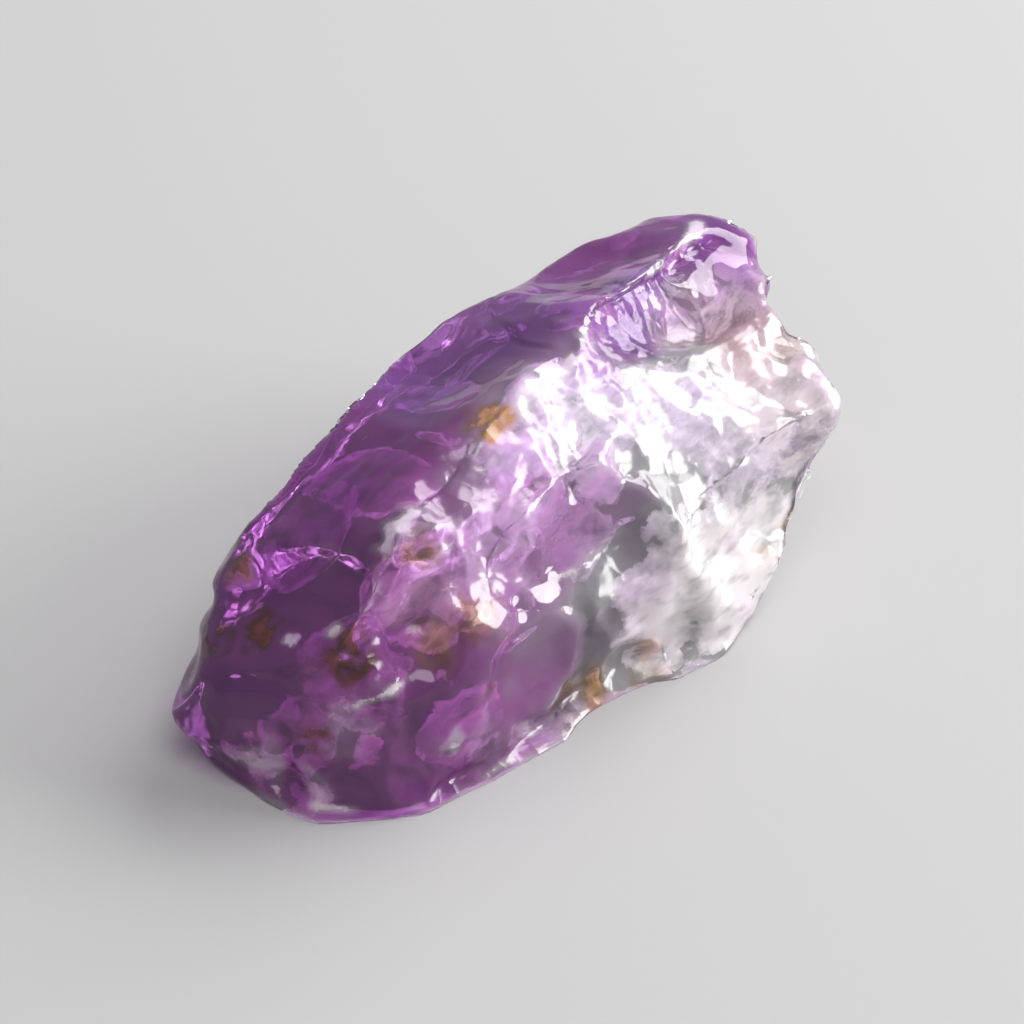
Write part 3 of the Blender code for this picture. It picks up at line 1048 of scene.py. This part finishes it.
def build_floor():
    bm = bmesh.new()
    bmesh.ops.create_grid(bm, x_segments=1, y_segments=1, size=FLOOR_SIZE)
    mesh = bpy.data.meshes.new("floor")
    bm.to_mesh(mesh)
    bm.free()
    floor = bpy.data.objects.new("floor", mesh)
    bpy.context.scene.collection.objects.link(floor)
    material, _, shader = nodes_of("floor")
    shader.inputs["Base Color"].default_value = (*FLOOR_COLOUR, 1.0)
    shader.inputs["Roughness"].default_value = FLOOR_ROUGHNESS
    shader.inputs["Specular IOR Level"].default_value = 0.0
    mesh.materials.append(material)


def area_light(name, azimuth, elevation, distance, size, power):
    data = bpy.data.lights.new(name, "AREA")
    data.shape = "DISK"
    data.size = size
    data.energy = power
    light = bpy.data.objects.new(name, data)
    away = towards(azimuth, elevation)
    light.location = away * distance
    light.rotation_euler = away.to_track_quat("Z", "Y").to_euler()
    bpy.context.scene.collection.objects.link(light)


def build_light():
    world = bpy.data.worlds.new("soft_room")
    world.use_nodes = True
    background = world.node_tree.nodes["Background"]
    background.inputs["Color"].default_value = (*ROOM_COLOUR, 1.0)
    background.inputs["Strength"].default_value = ROOM_LIGHT
    bpy.context.scene.world = world
    for light in LIGHTS:
        area_light(*light)


def build_camera():
    data = bpy.data.cameras.new("camera")
    data.lens = CAMERA_LENS
    data.clip_start = 0.01
    camera = bpy.data.objects.new("camera", data)
    back = towards(CAMERA_AZIMUTH, CAMERA_ELEVATION)
    camera.location = (Vector(CAMERA_TARGET) + back * CAMERA_DISTANCE) * MM
    camera.rotation_euler = back.to_track_quat("Z", "Y").to_euler()
    bpy.context.scene.collection.objects.link(camera)
    bpy.context.scene.camera = camera
    bpy.context.scene.view_settings.view_transform = "Standard"


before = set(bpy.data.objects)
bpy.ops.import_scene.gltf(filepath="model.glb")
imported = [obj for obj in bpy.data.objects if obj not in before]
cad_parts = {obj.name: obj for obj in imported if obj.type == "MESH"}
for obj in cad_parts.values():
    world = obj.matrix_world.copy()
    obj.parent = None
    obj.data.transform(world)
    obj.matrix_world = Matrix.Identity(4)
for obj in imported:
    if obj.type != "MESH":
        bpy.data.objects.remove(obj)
cad_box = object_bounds()
crystal = build_crystal(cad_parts["ametrine"], cad_box)
build_veils(crystal)
build_crushed_and_glow_skin(crystal)
build_floor()
build_light()
build_camera()
